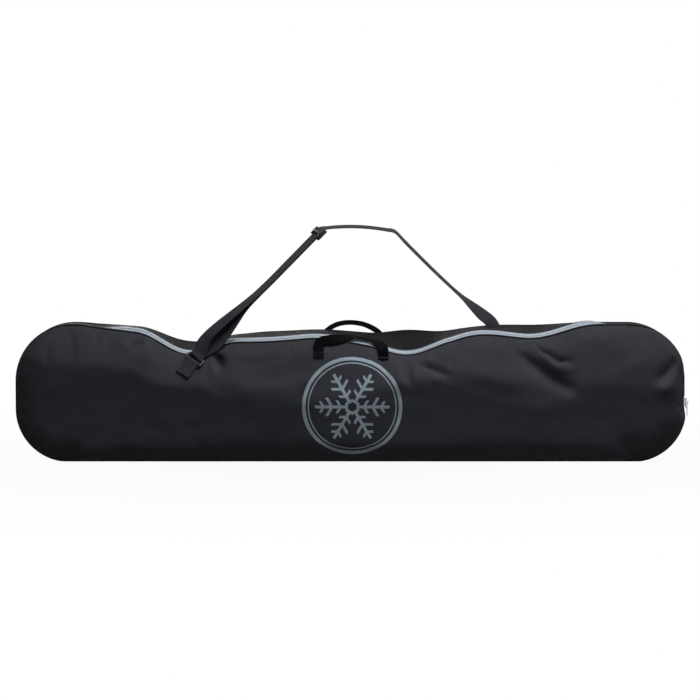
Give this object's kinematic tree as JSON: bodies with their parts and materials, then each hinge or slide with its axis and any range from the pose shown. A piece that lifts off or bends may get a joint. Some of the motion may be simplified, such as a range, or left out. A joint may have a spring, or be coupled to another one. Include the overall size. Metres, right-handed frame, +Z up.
{
  "type": "snowboard bag",
  "caption": "Long domed fabric bag with rounded corners, a zipped gusset, an opening front, webbing carry handles and a ring-and-adjuster shoulder strap.",
  "frame": {"origin": "centre of the bag's base, on the surface that it stands on", "axes": "+X along the bag, -Y out of its front with the strap ring, +Z up"},
  "size_m": [1.6103, 0.1561, 0.5687],
  "materials": {
    "shell_fabric": "woven polyester, dark slate",
    "piping": "black woven piping",
    "binding": "black bias tape",
    "zip_tape": "silver-grey woven tape",
    "zip_coil": "silver-grey moulded coil",
    "slider_metal": "satin nickel",
    "handle_webbing": "black webbing",
    "strap_webbing": "charcoal webbing",
    "black_plastic": "moulded black plastic"
  },
  "bodies": {
    "root": {"front_panel": "shell_fabric", "back_panel": "shell_fabric", "bottom_gusset": "shell_fabric", "top_gusset": "shell_fabric", "front_piping": "piping", "rear_piping": "piping", "front_seam_binding": "binding", "rear_seam_binding": "binding", "front_zip_tape": "zip_tape", "rear_zip_tape": "zip_tape", "front_zip_coil": "zip_coil", "rear_zip_coil": "zip_coil", "zip_end_stops": "slider_metal", "front_handle_patches": "handle_webbing", "rear_handle_patches": "handle_webbing", "strap_tab": "strap_webbing", "strap_ring": "black_plastic", "strap_ring_turn": "strap_webbing", "rear_strap_tail": "strap_webbing"},
    "flap": {"front_flap": "shell_fabric", "flap_piping": "piping", "flap_seam_binding": "binding", "flap_zip_tape": "zip_tape", "flap_zip_coil": "zip_coil"},
    "slider": {"zip_slider": "slider_metal"},
    "puller": {"zip_puller": "slider_metal"},
    "front_handle": {"front_handle": "handle_webbing"},
    "rear_handle": {"rear_handle": "handle_webbing"},
    "strap": {"strap_main_run": "strap_webbing", "strap_return_run": "strap_webbing"},
    "adjuster": {"strap_adjuster": "black_plastic"}
  },
  "joints": [
    {"name": "flap_open", "type": "hinge", "parent": "root", "child": "flap", "pos_m": [0.118, -0.073, 0.24202], "axis": [0.9932, 0, -0.1165], "range_deg": [0, 105]},
    {"name": "zip_slide", "type": "slide", "parent": "root", "child": "slider", "axis": [0, 0, 1], "range_m": [0, 0.038]},
    {"name": "puller_swing", "type": "hinge", "parent": "slider", "child": "puller", "pos_m": [0.8049, -0.032, 0.1423], "axis": [0, -1, 0], "range_deg": [0, 170]},
    {"name": "front_handle_swing", "type": "hinge", "parent": "root", "child": "front_handle", "pos_m": [0.00012, -0.06626, 0.25877], "axis": [0.9967, 0.0298, -0.0754], "range_deg": [0, 130]},
    {"name": "rear_handle_swing", "type": "hinge", "parent": "root", "child": "rear_handle", "pos_m": [-0.00002, 0.06857, 0.27613], "axis": [-0.9991, 0, 0.0426], "range_deg": [0, 110]},
    {"name": "strap_swing", "type": "hinge", "parent": "root", "child": "strap", "pos_m": [-0.34604, -0.05903, 0.27335], "axis": [0.9819, 0.1679, 0.0871], "range_deg": [-45, 60]},
    {"name": "adjuster_slide", "type": "slide", "parent": "strap", "child": "adjuster", "axis": [-0.6936, -0.1186, -0.7106], "range_m": [0, 0.17]}
  ]
}
